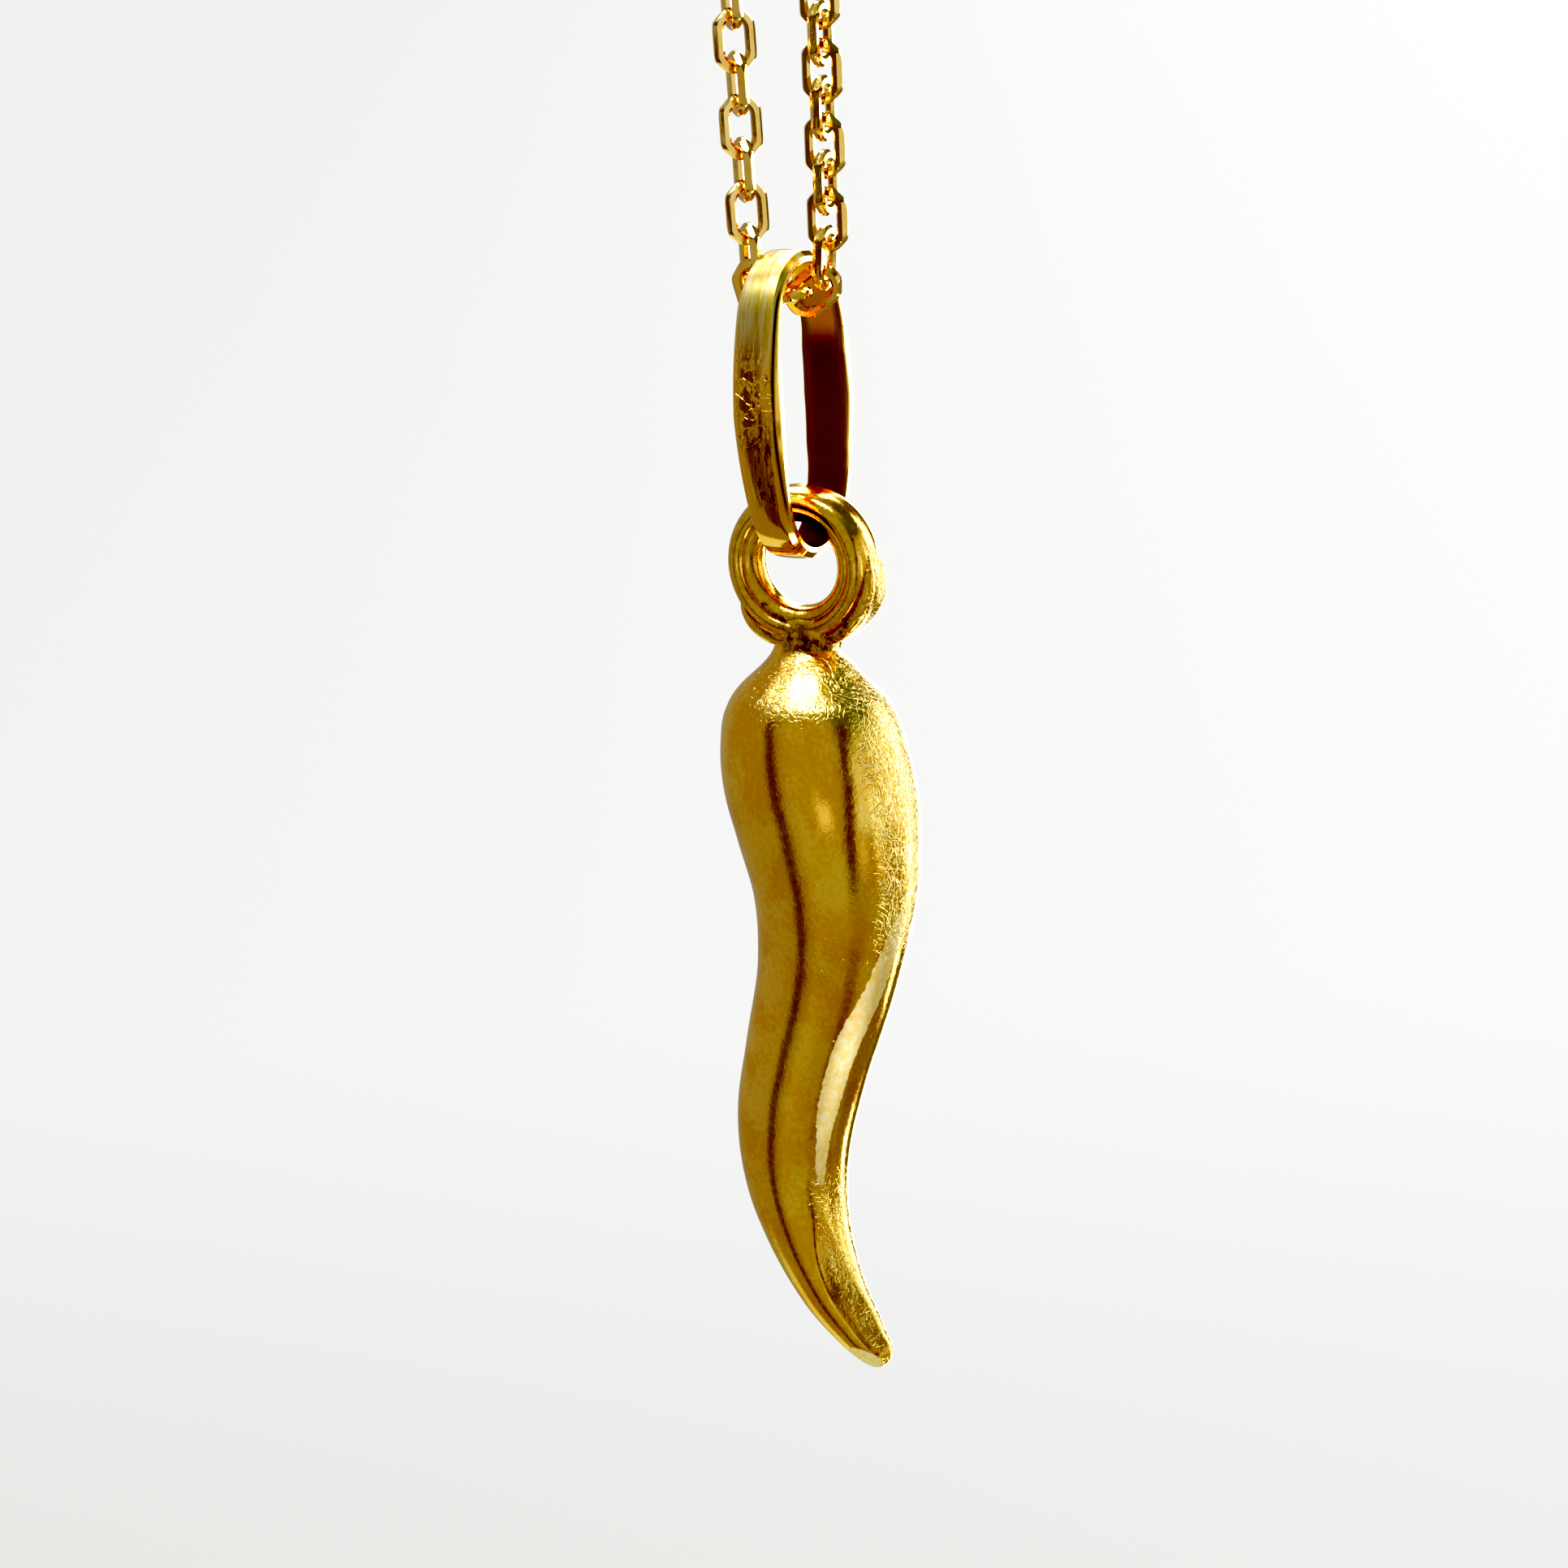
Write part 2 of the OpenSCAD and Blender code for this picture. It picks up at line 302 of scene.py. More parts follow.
def makeFloor():
    s = floorSet
    form = bmesh.new()
    bmesh.ops.create_circle(form, cap_ends=True, segments=s["segments"], radius=s["radius"] * mm)
    mesh = bpy.data.meshes.new("floor")
    form.to_mesh(mesh)
    form.free()
    floor = addObject("floor", mesh)
    floor.location = (0, 0, -s["below"] * mm)
    floor.visible_glossy = False
    material, tree, shader = newMaterial("palePaper")
    place = addNode(tree, "TexCoord").outputs["Object"]
    right, _, back = cameraAxes()
    across = doVector(tree, "DOT_PRODUCT", place, right, output="Value")
    reach = s["shadeWidth"] * mm
    share = ramp(tree, across, -reach, reach)
    ahead = doVector(tree, "DOT_PRODUCT", place, -back, output="Value")
    near, far = (v * mm for v in s["shadeDepth"])
    depth = ramp(tree, ahead, near, far)
    nearShade = mix(tree, share, s["nearLeft"], s["nearRight"])
    farShade = mix(tree, share, s["left"], s["right"])
    shade = mix(tree, depth, nearShade, farShade)
    away = doVector(tree, "LENGTH", place, output="Value")
    inside, outside = (v * mm for v in s["rimFade"])
    shade = mix(tree, ramp(tree, away, inside, outside), shade, s["rim"])
    # no lamp lights the floor; it only glows with this painted light and shade
    setInputs(tree, shader, {
        "Base Color": (0, 0, 0, 1), "Specular IOR Level": 0,
        "Emission Strength": 1, "Emission Color": shade,
    })
    mesh.materials.append(material)


makeFloor()
print("studio made")


# Shared finish effects, all worked out in millimetres
hairlineSet = {
    "turnAxis": (0.48, 0.6, 0.64),
    "bendScale": 0.9,
    "patchScale": 7,
    "patchDetail": 2,
    "barest": 0.78,  # least patch value that keeps its lines where the cover is nothing
    "coverReach": 0.5,
    "patchEdge": 0.1,
}
grainSet = {"fineDetail": 4, "fineRoughness": 0.65, "broadScale": 0.8, "broadDetail": 3}


def placeInMm(group):
    place = addNode(group, "TexCoord").outputs["Object"]
    scaled = addNode(group, "VectorMath", {0: place, "Scale": 1 / mm}, operation="SCALE")
    return scaled.outputs[0]


def hairlineGroup():
    s = hairlineSet
    group, given, out = newGroup("hairlines", {
        "Fineness": 6, "Wander": 1.5, "Width": 0.02, "Cover": 0.5, "Turn": 0, "Seed": 0,
    }, ["Mask"])
    shifted = doVector(group, "ADD", placeInMm(group), given["Seed"])
    turned = addNode(group, "VectorRotate", {
        "Vector": shifted, "Axis": s["turnAxis"], "Angle": given["Turn"],
    }, rotation_type="AXIS_ANGLE").outputs[0]
    bend = addNode(group, "TexNoise", {
        "Vector": turned, "Scale": s["bendScale"], "Detail": 1}).outputs["Color"]
    centred = doVector(group, "SUBTRACT", bend, (0.5, 0.5, 0.5))
    pushed = doVector(group, "MULTIPLY_ADD", centred, given["Wander"], turned)
    cells = addNode(group, "TexVoronoi", {
        "Vector": pushed, "Scale": given["Fineness"]}, feature="DISTANCE_TO_EDGE").outputs["Distance"]
    line = ramp(group, cells, 0, given["Width"], 1, 0)
    patches = addNode(group, "TexNoise", {
        "Vector": turned, "Scale": s["patchScale"], "Detail": s["patchDetail"]}).outputs["Fac"]
    reach = times(group, given["Cover"], s["coverReach"])
    least = doMath(group, "SUBTRACT", s["barest"], reach)
    most = doMath(group, "ADD", least, s["patchEdge"])
    broken = ramp(group, patches, least, most)
    group.links.new(times(group, line, broken), out["Mask"])
    return group


def grainGroup():
    s = grainSet
    inputs = {"Scale": 1, "Along": 1, "Into": 1}
    group, given, out = newGroup("brushedGrain", inputs, ["Height", "Patches"])
    scaled = placeInMm(group)
    squeeze = addNode(group, "CombineXYZ", {"X": 1, "Y": given["Into"], "Z": given["Along"]})
    stretched = doVector(group, "MULTIPLY", scaled, squeeze.outputs[0])
    fine = addNode(group, "TexNoise", {
        "Vector": stretched, "Scale": given["Scale"], "Detail": s["fineDetail"],
        "Roughness": s["fineRoughness"],
    })
    broad = addNode(group, "TexNoise", {
        "Vector": scaled, "Scale": s["broadScale"], "Detail": s["broadDetail"]})
    group.links.new(fine.outputs["Fac"], out["Height"])
    group.links.new(broad.outputs["Fac"], out["Patches"])
    return group


hairlines = hairlineGroup()
brushedGrain = grainGroup()


def readMasks(tree, *names):
    return [addNode(tree, "Attribute", attribute_name=name).outputs["Fac"] for name in names]


def finishGold(tree, shader, colour, rough, height):
    bump = addNode(tree, "Bump", {"Height": height, "Distance": mm}).outputs[0]
    setInputs(tree, shader, {"Base Color": colour, "Metallic": 1, "Roughness": rough, "Normal": bump})


hornGoldSet = {
    "gold": (1, 0.73, 0.29, 1),
    "deepGold": (0.93, 0.6, 0.22, 1),
    "scratchGold": (1, 0.86, 0.5, 1),
    # pale gold of the filed tip facet and of a strip down the horn whose paleness is partly a painted
    # highlight
    "filedGold": (1, 0.79, 0.42, 1),
    "filedPale": (1, 0.89, 0.68, 1),
    # dark brown of grime with painted shade, laid in the front of the crevice where the ring meets the horn
    # and lightly over the ring
    "grime": (0.33, 0.17, 0.08, 1),
    "polish": 0.075,
    "satin": 0.14,
    "filedMatt": 0.34,
    "grimeMatt": 0.2,
    "grain": {"Scale": 9, "Along": 0.8},
    "squiggles": {"Scale": 7, "Along": 0.8},
    "shortHairs": {"Fineness": 5, "Wander": 1.8, "Width": 0.11},
    "longHairs": {"Fineness": 3.4, "Wander": 2.4, "Width": 0.075, "Turn": 1.3, "Seed": 7},
    "hairCover": (0.75, 0.18),  # added by wear, and on clean gold
    "hairPale": (0.5, 0.4),  # the same for how pale they are
    "specks": 0.4,
    "ragged": 1.1,  # how far the filed edges wander
    "grainDepth": 0.0045,  # mm
    "wornDepth": 0.016,
    "hairlineDepth": 0.005,
    # texture values between which each effect fades in
    "patchRange": (0.36, 0.64),
    "speckRange": (0.38, 0.62),
    "filedRange": (0.38, 0.62),
    "dustRange": (0.4, 0.6),
    "dirtRange": (0.42, 0.56, 1, 0.35),  # then how much of the dirt and painted shade stays at each
    "satinRange": (0.3, 0.7),
}


def hornGold():
    s = hornGoldSet
    material, tree, shader = newMaterial("hornGold")
    grain = placeGroup(tree, brushedGrain, s["grain"])
    squiggles = placeGroup(tree, brushedGrain, s["squiggles"])["Height"]
    worn, grime, filed = readMasks(tree, "worn", "grime", "filed")
    cover = timesPlus(tree, worn, *s["hairCover"])
    lines = doMath(tree, "MAXIMUM", *(
        placeGroup(tree, hairlines, {**s[k], "Cover": cover})["Mask"] for k in ("shortHairs", "longHairs")))
    patches = ramp(tree, grain["Patches"], *s["patchRange"])
    specks = ramp(tree, grain["Height"], *s["speckRange"], -s["specks"], s["specks"])
    colour = mix(tree, doMath(tree, "ADD", patches, specks, clamp=True), s["deepGold"], s["gold"])
    pale = times(tree, lines, timesPlus(tree, worn, *s["hairPale"]))
    colour = mix(tree, pale, colour, s["scratchGold"])
    wander = doMath(tree, "SUBTRACT", squiggles, 0.5)
    # the filed tip facet, and a pale strip that is partly a painted highlight
    filed = ramp(tree, timesPlus(tree, wander, s["ragged"], filed), *s["filedRange"])
    dusty = mix(tree, ramp(tree, squiggles, *s["dustRange"]), s["filedGold"], s["filedPale"])
    colour = mix(tree, filed, colour, dusty)
    # grime and painted shade: darker in the front of the crevice and the soldered grooves, and a little
    # over the ring
    dirt = times(tree, grime, ramp(tree, squiggles, *s["dirtRange"]))
    colour = mix(tree, dirt, colour, s["grime"])
    rough = ramp(tree, grain["Height"], *s["satinRange"], s["polish"], s["satin"])
    rough = timesPlus(tree, filed, s["filedMatt"], rough)
    rough = timesPlus(tree, dirt, s["grimeMatt"], rough)
    height = times(tree, grain["Height"], s["grainDepth"])
    wornDepth = times(tree, doMath(tree, "MAXIMUM", worn, grime), s["wornDepth"])
    height = timesPlus(tree, squiggles, wornDepth, height)
    height = timesPlus(tree, lines, -s["hairlineDepth"], height)
    finishGold(tree, shader, colour, rough, height)
    return material


bailGoldSet = {
    "gold": (1, 0.72, 0.32, 1),
    "deepGold": (0.94, 0.6, 0.24, 1),
    "satinGold": (1, 0.88, 0.58, 1),
    "streakGold": (0.88, 0.68, 0.24, 1),
    # brown of a dark reflection painted in mottled blots down the front of the bail
    "stain": (0.46, 0.27, 0.11, 1),
    # near black of painted shade inside the bottom of the loop and in a line beside the right bevel
    "soot": (0.17, 0.08, 0.04, 1),
    "tarnish": (0.72, 0.3, 0.2, 1),
    "amber": (0.95, 0.6, 0.22, 1),
    "polish": 0.06,
    "brush": 0.32,
    "innerMatt": (0.35, 0.08),  # added near the arch, and everywhere inside
    "sootMatt": 0.55,
    "grain": {"Scale": 12, "Along": 0.06, "Into": 0.06},
    "nicks": {"Scale": 4.5, "Along": 0.6},
    "mottle": {"Scale": 3.2, "Along": 0.35},
    "dents": {"Fineness": 2.6, "Wander": 1.6, "Width": 0.07, "Cover": 0.7},
    "streaky": (0.6, 0.15),  # added where the dark reflection is painted, and everywhere
    "brushDepth": 0.006,  # mm
    "nickDepth": 0.016,
    "brushedPower": 1.5,
    "goldRange": (0.35, 0.65),
    "streakRange": (0.4, 0.58),
    "stainRange": (0.48, 0.58),
    "nickRange": (0.52, 0.7),
}


def bailGold():
    s = bailGoldSet
    material, tree, shader = newMaterial("bailGold")
    grain, nicks, mottle = (
        placeGroup(tree, brushedGrain, s[k])["Height"] for k in ("grain", "nicks", "mottle"))
    dents = placeGroup(tree, hairlines, s["dents"])["Mask"]
    brushed, dented, inner, stained, nearArch, sooty = readMasks(
        tree, "brushed", "dented", "inner", "stained", "nearArch", "sooty")
    colour = mix(tree, ramp(tree, grain, *s["goldRange"]), s["deepGold"], s["gold"])
    satin = mix(tree, ramp(tree, grain, *s["streakRange"]), s["streakGold"], s["satinGold"])
    colour = mix(tree, doMath(tree, "POWER", brushed, s["brushedPower"]), colour, satin)
    # painted dark reflection, in blots down the middle of the front
    blots = times(tree, stained, ramp(tree, mottle, *s["stainRange"]))
    colour = mix(tree, blots, colour, s["stain"])
    colour = mix(tree, inner, colour, mix(tree, nearArch, s["tarnish"], s["amber"]))
    # painted shade, inside the bottom of the loop and beside the right bevel
    colour = mix(tree, sooty, colour, s["soot"])
    rough = ramp(tree, brushed, 0, 1, s["polish"], s["brush"])
    innerMatt = timesPlus(tree, nearArch, *s["innerMatt"])
    rough = timesPlus(tree, inner, innerMatt, rough)
    rough = timesPlus(tree, sooty, s["sootMatt"], rough)
    streaky = timesPlus(tree, stained, *s["streaky"])
    brushDepth = times(tree, doMath(tree, "ADD", brushed, streaky), s["brushDepth"])
    height = times(tree, grain, brushDepth)
    marks = doMath(tree, "MAXIMUM", dents, ramp(tree, nicks, *s["nickRange"]))
    nickHeight = times(tree, times(tree, marks, dented), -s["nickDepth"])
    finishGold(tree, shader, colour, rough, doMath(tree, "ADD", height, nickHeight))
    return material


chainGoldSet = {
    "gold": (1, 0.77, 0.43, 1),
    "deepGold": (0.94, 0.66, 0.32, 1),
    "polish": 0.05,
    "cut": 0.1,
    "grain": {"Scale": 9, "Along": 1},
    "grainDepth": 0.0025,  # mm
    "patchRange": (0.4, 0.6),
    "cutRange": (0.3, 0.7),
}
claspGoldSet = {
    **chainGoldSet,
    "gold": (1, 0.69, 0.29, 1),
    "deepGold": (0.97, 0.62, 0.24, 1),
    "polish": 0.06,
    "cut": 0.11,
}


def polishedGold(name, s):
    material, tree, shader = newMaterial(name)
    grain = placeGroup(tree, brushedGrain, s["grain"])
    colour = mix(tree, ramp(tree, grain["Patches"], *s["patchRange"]), s["deepGold"], s["gold"])
    rough = ramp(tree, grain["Height"], *s["cutRange"], s["polish"], s["cut"])
    height = times(tree, grain["Height"], s["grainDepth"])
    finishGold(tree, shader, colour, rough, height)
    return material


hornFinish = hornGold()
bailFinish = bailGold()
chainFinish = polishedGold("chainGold", chainGoldSet)
claspFinish = polishedGold("claspGold", claspGoldSet)
print("materials made")


# Mesh helpers, all in millimetres until the mesh is made
def makeMesh(name, points, faces, sharpAngle=None):
    mesh = bpy.data.meshes.new(name)
    mesh.from_pydata((np.asarray(points) * mm).tolist(), [], faces)
    mesh.validate()
    mesh.shade_smooth()
    if sharpAngle is not None:
        mesh.set_sharp_from_angle(angle=radians(sharpAngle))
    return mesh


def makePiece(name, mesh, material, body, slot, *nodes):
    piece = addObject(name, mesh)
    mesh.materials.clear()
    mesh.materials.append(material)
    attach(piece, body)
    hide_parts(*nodes)


# Points and faces of a skin over rows of sections, closed by a flat face at each end or joined in a loop
def skinOver(sections, loop=False):
    sections = np.asarray(sections, float)
    rows, columns = sections.shape[:2]
    faces = []
    for i in range(rows if loop else rows - 1):
        for k in range(columns):
            a = i * columns
            b = ((i + 1) % rows) * columns
            n = (k + 1) % columns
            faces.append((a + k, b + k, b + n, a + n))
    if not loop:
        faces.append(tuple(range(columns)))
        faces.append(tuple((rows - 1) * columns + k for k in reversed(range(columns))))
    return sections.reshape(-1, 3), faces


def fadeIn(value, low, high):
    share = np.clip((value - low) / (high - low), 0, 1)
    return share * share * (3 - 2 * share)


def fadeOut(value, low, high):
    return 1 - fadeIn(value, low, high)


def fadeBoth(value, start, full, fading, gone):
    return fadeIn(value, start, full) * fadeOut(value, fading, gone)


def bell(value, middle, spread):
    return np.exp(-((value - middle) / spread) ** 2)


def circleTurns(sides):
    return np.arange(sides) * 2 * pi / sides


def circleSection(radius, sides):
    turn = circleTurns(sides)
    return np.c_[radius * np.cos(turn), radius * np.sin(turn)]


def smoothRows(rows, steps):
    rows = np.asarray(rows, float)
    padded = np.vstack([2 * rows[0] - rows[1], rows, 2 * rows[-1] - rows[-2]])
    out = []
    for i in range(1, len(padded) - 2):
        a, b, c, d = padded[i - 1:i + 3]
        for t in np.arange(steps) / steps:
            out.append(b + 0.5 * t * (c - a + t * (2 * a - 5 * b + 4 * c - d + t * (3 * (b - c) + d - a))))
    out.append(rows[-1])
    return np.array(out)


# A section swept along a path that lies in one plane; side is the plane's normal
def planarSweep(path, side, section, closed=False):
    path = np.asarray(path, float)
    side = np.asarray(side, float)
    section = np.asarray(section, float)
    if closed:
        along = np.roll(path, -1, axis=0) - np.roll(path, 1, axis=0)
    else:
        along = np.gradient(path, axis=0)
    along /= norm(along, axis=1)[:, None]
    outward = np.cross(along, side)
    if section.ndim == 2:
        section = np.repeat(section[None], len(path), axis=0)
    points = path[:, None] + section[:, :, :1] * outward[:, None] + section[:, :, 1:] * side
    return skinOver(points, loop=closed)


# Horn
hornShape = {
    "length": 20.6,
    "halfWidth": 2.37,
    "depth": 0.94,  # as a share of the width
    "sides": 120,
    "steps": 12,
    "capSteps": 14,
    "capTurn": 86,  # degrees of the rounded end
    "wave": 0.012,  # hand-finished unevenness
    "waves": (0.55, 1.7, 0.35),  # its broad and its fine frequency, and the fine one's share
    # flat filed on the lower left of the tip: degrees round the horn, where it starts and ends, how deep
    "tipFlat": (-135, 0.8, 0.955, 0.84),
    # facet filed on the very tip: the way it faces, its distance from the rounded end's middle, its start
    "tipFacet": ((-0.04, -0.77, -0.64), 0.3, 0.93),
    # down, across, half width, as shares of the length and of the half width
    "rows": [
        (0.08, -0.007, 0.27), (0.105, -0.007, 0.325), (0.133, -0.006, 0.565), (0.168, -0.006, 0.84),
        (0.203, -0.004, 0.95), (0.252, 0.002, 1.005), (0.315, 0.014, 0.99), (0.405, 0.019, 0.88),
        (0.505, 0.003, 0.76), (0.605, -0.028, 0.685), (0.69, -0.051, 0.64), (0.765, -0.055, 0.56),
        (0.84, -0.041, 0.455), (0.905, -0.015, 0.36), (0.955, 0.018, 0.27), (0.982, 0.039, 0.2),
    ],
}
ringShape = {
    "segments": 224,
    # radius and distance to the front of each corner: half of the outer band, then all of the inner one
    "outer": [
        (1.38, 0), (1.41, 0.5), (1.56, 0.64), (1.72, 0.61), (1.86, 0.47), (1.95, 0.24), (1.96, 0),
    ],
    "inner": [
        (1.04, 0), (1.06, 0.24), (1.14, 0.4), (1.32, 0.53), (1.45, 0.52), (1.5, 0.3), (1.5, -0.3),
        (1.45, -0.5), (1.36, -0.5), (1.22, -0.36), (1.12, -0.16),
    ],
    # tongue below the hole: down, left edge, right edge, depth
    "tongue": [
        (1.16, -0.78, 0.84, 0.34), (1.26, -0.74, 0.86, 0.46), (1.42, -0.62, 0.9, 0.58),
        (1.65, -0.42, 0.88, 0.65), (1.9, -0.25, 0.84, 0.66), (2.15, -0.17, 0.8, 0.62),
    ],
    "tongueSides": 48,
    "tongueSquare": 0.75,  # 1 is an ellipse, less is squarer
    # soldered grooves beside the tongue, in front: start and end, across and down, then the width
    "grooves": [
        ((-0.9, 1.00), (-0.4, 1.36), 0.07), ((-0.4, 1.36), (-0.05, 1.95), 0.09),
        ((1.46, 1.28), (1.14, 1.76), 0.08),
    ],
    # arms that grip the ring: degrees from straight down, inner radius, outer radius, front, back
    "rightArm": [
        (14, 1.8, 2.06, -0.46, 0.42), (28, 1.84, 2.17, -0.53, 0.46), (48, 1.84, 2.2, -0.56, 0.5),
        (66, 1.84, 2.19, -0.53, 0.5), (80, 1.84, 2.12, -0.46, 0.46), (92, 1.82, 2.01, -0.36, 0.38),
        (102, 1.8, 1.92, -0.24, 0.26),
    ],
    "leftArm": [
        (-10, 1.78, 2.06, -0.6, 0.46), (-24, 1.72, 2.14, -0.63, 0.48), (-40, 1.76, 2.11, -0.6, 0.46),
        (-52, 1.8, 2.02, -0.5, 0.4), (-60, 1.84, 1.93, -0.34, 0.3),
    ],
    # an arm's section, out and back, with a shallow channel along its outside
    "armSection": [
        (0, 0), (0, 1), (0.55, 1), (0.92, 0.93), (1, 0.8), (0.86, 0.5), (1, 0.2), (0.92, 0.07), (0.55, 0),
    ],
    "sharp": 34,  # degrees between faces that still shade smooth
}
# Dirt with painted shade, rubbing, filing, and a pale strip that is partly a painted highlight, on the
# horn. Down is a share of the length, turn is in degrees round the horn with -90 at the front, and the rest
# is in millimetres from the ring's centre. Two values are where a mask fades, and four are where it starts,
# is full, starts to fade and has gone.
hornWear = {
    "crevice": (1.92, 0.2),  # middle and spread
    "creviceAcross": (-0.5, -0.2, 0.9, 1.25),
    "creviceFront": (-0.1, 0.2),
    "creviceDirt": 1.5,
    "ringDirt": 0.24,
    "ringEnd": (1.7, 2),
    "bodyStart": (1.9, 2.2),
    "neckWear": (0.7, 0.3),  # wear on the neck, and what the shoulder adds
    "neckEnd": (0.118, 0.135),
    "shoulderEnd": (0.158, 0.192),
    "shoulderTurn": (-118, -84),
    "shoulderWear": (0.25, 0.75),  # wear at the back, and what the front adds
    "glintTurn": (-62, 26),  # middle and spread of a smooth spot on the shoulder
    "glintDown": (0.139, 0.016),
    "glintSmooth": 0.75,
    "rightTurn": (-40, -26),
    "rightEnd": (0.42, 0.52),
    "tipStart": (0.72, 0.78),
    "tipTurn": (-58, -40),
    "tipWear": 0.6,
    "streakTurn": -73,
    "streakWidth": (3, 9),
    "streakDown": (0.34, 0.38, 0.46, 0.54),
    "streakWear": 0.35,
    "strapEdge": (1.86, 1.96),
    "strapLeft": 0.8,
    "strapDown": (-0.5, 1.9),
    "strapWear": 0.7,
    # pale strip, filed and partly a painted highlight: down, and its two edges round the horn
    "strip": [
        (0.415, -15, -8), (0.44, -20, -9), (0.48, -28, -10), (0.515, -33, -12), (0.545, -41, -17),
        (0.577, -46, -21), (0.61, -47, -23), (0.64, -47, -24), (0.67, -46, -24), (0.705, -42, -28),
        (0.75, -41, -29), (0.785, -38, -33),
    ],
    "stripSoft": 3,
    "stripDown": (0.41, 0.43, 0.74, 0.8),
    "facetEdge": (-0.012, -0.002),
}


# Each corner is cut off at a quarter of its sides, a number of rounds
def roundCorners(points, rounds):
    points = np.asarray(points, float)
    for _ in range(rounds):
        ahead = np.roll(points, -1, axis=0)
        pair = [0.75 * points + 0.25 * ahead, 0.25 * points + 0.75 * ahead]
        points = np.stack(pair, axis=1).reshape(-1, 2)
    return points


hornLine = smoothRows(hornShape["rows"], hornShape["steps"])


def tipFacetOf(points):
    # the way the facet faces, how far each point stands out past its plane, and which points are near it
    s = hornShape
    way, reach, start = s["tipFacet"]
    way = np.array(way) / norm(way)
    down, across, _ = s["rows"][-1]
    end = np.array((across * s["length"], 0, ringZ - down * s["length"]))
    return way, (points - end) @ way - reach, points[:, 2] <= ringZ - start * s["length"]


def hornBodyMesh():
    s = hornShape
    middle = np.c_[hornLine[:, 1] * s["length"], ringZ - hornLine[:, 0] * s["length"]]
    way = np.gradient(middle, axis=0)
    way /= norm(way, axis=1)[:, None]
    half = hornLine[:, 2] * s["halfWidth"]
    lastMiddle, lastWay, tipHalf = middle[-1], way[-1], half[-1]
    for i in range(1, s["capSteps"] + 1):
        angle = radians(s["capTurn"] * i / s["capSteps"])
        middle = np.vstack([middle, lastMiddle + lastWay * tipHalf * sin(angle)])
        way = np.vstack([way, lastWay])
        half = np.append(half, tipHalf * cos(angle))
    turn = circleTurns(s["sides"])
    flatTurn, flatStart, flatEnd, flatDepth = s["tipFlat"]
    toFlat = np.cos(turn - radians(flatTurn))
    downs = (ringZ - middle[:, 1]) / s["length"]
    points = []
    for (x, z), (wx, wz), r, down in zip(middle, way, half, downs):
        reach = 1 - (1 - flatDepth) * fadeIn(down, flatStart, flatEnd)
        r = r * np.minimum(1, reach / np.maximum(toFlat, 0.01))
        side = r * np.cos(turn)
        points.append(np.c_[x + side * wz, r * s["depth"] * np.sin(turn), z - side * wx])
    points = np.vstack(points)
    outward = points - np.repeat(np.c_[middle[:, 0], 0 * half, middle[:, 1]], s["sides"], axis=0)
    outward /= np.maximum(norm(outward, axis=1)[:, None], 1e-6)
    broad, fine, fineShare = s["waves"]
    push = [noise.noise(Vector(p) * broad) + fineShare * noise.noise(Vector(p) * fine) for p in points]
    points = points + outward * np.array(push)[:, None] * s["wave"]
    facetWay, over, near = tipFacetOf(points)
    points = points - np.maximum(over * near, 0)[:, None] * facetWay
    return skinOver(points.reshape(-1, s["sides"], 3))


def mirrored(half):
    return half + [(a, -b) for a, b in reversed(half[1:-1])]


def ringBand(corners):
    section = roundCorners(corners, 2)
    turn = circleTurns(ringShape["segments"])
    centre = np.array((0, 0, ringZ))
    outward = np.c_[np.sin(turn), 0 * turn, np.cos(turn)]
    toFront = np.array((0, 1, 0))
    points = centre + section[None, :, :1] * outward[:, None] - section[None, :, 1:] * toFront
    return skinOver(points, loop=True)


def tongueMesh():
    s = ringShape
    around = circleSection(1, s["tongueSides"])
    across, into = (np.sign(around) * np.abs(around) ** s["tongueSquare"]).T
    sections = []
    for down, left, right, depth in smoothRows(s["tongue"], 8):
        x = (left + right) / 2 + across * (right - left) / 2
        sections.append(np.c_[x, into * depth, 0 * x + ringZ - down])
    return skinOver(sections)


def armMesh(rows):
    around = roundCorners(ringShape["armSection"], 2)
    sections = []
    for turn, low, high, front, back in smoothRows(rows, 10):
        a = radians(turn)
        radius = low + (high - low) * around[:, 0]
        depth = front + (back - front) * around[:, 1]
        sections.append(np.c_[radius * sin(a), depth, ringZ - radius * cos(a)])
    return skinOver(sections)


def joinSolids(solids):
    made = []
    for points, faces in solids:
        mesh = makeMesh("solid", points, faces)
        form = bmesh.new()
        form.from_mesh(mesh)
        bmesh.ops.recalc_face_normals(form, faces=form.faces)
        form.to_mesh(mesh)
        form.free()
        made.append(addObject("solid", mesh))
    first = made[0]
    for other in made[1:]:
        union = first.modifiers.new("join", "BOOLEAN")
        union.operation = "UNION"
        union.solver = "EXACT"
        union.object = other
    depsgraph = bpy.context.evaluated_depsgraph_get()
    mesh = bpy.data.meshes.new_from_object(first.evaluated_get(depsgraph))
    for solid in made:
        bpy.data.objects.remove(solid)
    return mesh


def setMasks(mesh, **masks):
    for name, values in masks.items():
        attribute = mesh.attributes.new(name, "FLOAT", "POINT")
        attribute.data.foreach_set("value", np.asarray(values, np.float32))


def pointsOf(mesh):
    flat = np.zeros(len(mesh.vertices) * 3)
    mesh.vertices.foreach_get("co", flat)
    return flat.reshape(-1, 3) / mm


def hornTurn(points):
    # down as a share of the length, and degrees round the horn's middle line at that height
    down = (ringZ - points[:, 2]) / hornShape["length"]
    middle = np.interp(down, hornLine[:, 0], hornLine[:, 1]) * hornShape["length"]
    return down, np.degrees(np.arctan2(points[:, 1], points[:, 0] - middle))


